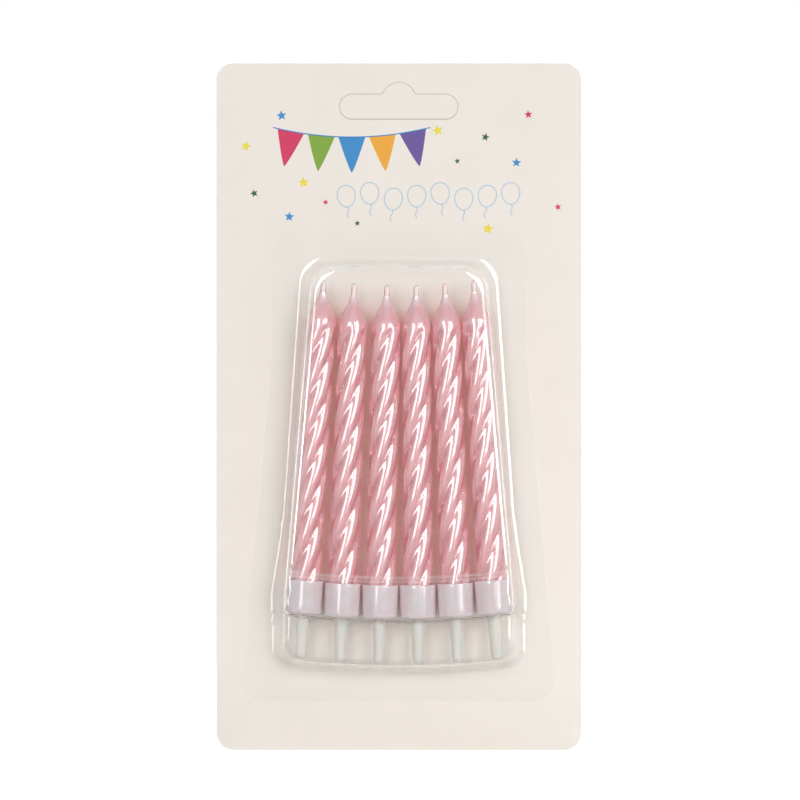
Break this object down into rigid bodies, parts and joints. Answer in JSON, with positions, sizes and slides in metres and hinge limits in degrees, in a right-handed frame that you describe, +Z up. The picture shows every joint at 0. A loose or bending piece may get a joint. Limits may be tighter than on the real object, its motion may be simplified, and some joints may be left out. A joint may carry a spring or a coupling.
{
  "type": "spiral birthday candle pack",
  "caption": "Slim twisted candles with drawn-in necks and waxed wicks, each in a cup holder with a spike, fanned out in a clear blister on a hang card.",
  "frame": {"origin": "centre of the hang slot's bar on the card's front face", "axes": "+Z up along the card, +Y out of the card's back, +X to the right as seen from the front"},
  "size_m": [0.0984, 0.0111, 0.1855],
  "materials": {
    "board": "smooth coated board",
    "film": "clear thermoformed film",
    "wax": "pearly pink wax",
    "wick": "cotton dipped in the same wax",
    "holder": "milky translucent moulding"
  },
  "bodies": {
    "pack": {"backing_card": "board", "blister_shell": "film"},
    "candle_set_1": {"candle_1": "wax", "wick_1": "wick", "holder_1": "holder"},
    "candle_set_2": {"candle_2": "wax", "wick_2": "wick", "holder_2": "holder"},
    "candle_set_3": {"candle_3": "wax", "wick_3": "wick", "holder_3": "holder"},
    "candle_set_4": {"candle_4": "wax", "wick_4": "wick", "holder_4": "holder"},
    "candle_set_5": {"candle_5": "wax", "wick_5": "wick", "holder_5": "holder"},
    "candle_set_6": {"candle_6": "wax", "wick_6": "wick", "holder_6": "holder"}
  },
  "joints": [
    {"name": "candle_set_1_slide", "type": "slide", "parent": "pack", "child": "candle_set_1", "axis": [0.061, 0, 0.9981], "range_m": [0, 0.0011]},
    {"name": "candle_set_2_slide", "type": "slide", "parent": "pack", "child": "candle_set_2", "axis": [0.0379, 0, 0.9993], "range_m": [0, 0.0011]},
    {"name": "candle_set_3_slide", "type": "slide", "parent": "pack", "child": "candle_set_3", "axis": [0.022, 0, 0.9998], "range_m": [0, 0.0011]},
    {"name": "candle_set_4_slide", "type": "slide", "parent": "pack", "child": "candle_set_4", "axis": [-0.0049, 0, 1], "range_m": [0, 0.0011]},
    {"name": "candle_set_5_slide", "type": "slide", "parent": "pack", "child": "candle_set_5", "axis": [-0.033, 0, 0.9995], "range_m": [0, 0.0011]},
    {"name": "candle_set_6_slide", "type": "slide", "parent": "pack", "child": "candle_set_6", "axis": [-0.061, 0, 0.9981], "range_m": [0, 0.0011]}
  ]
}
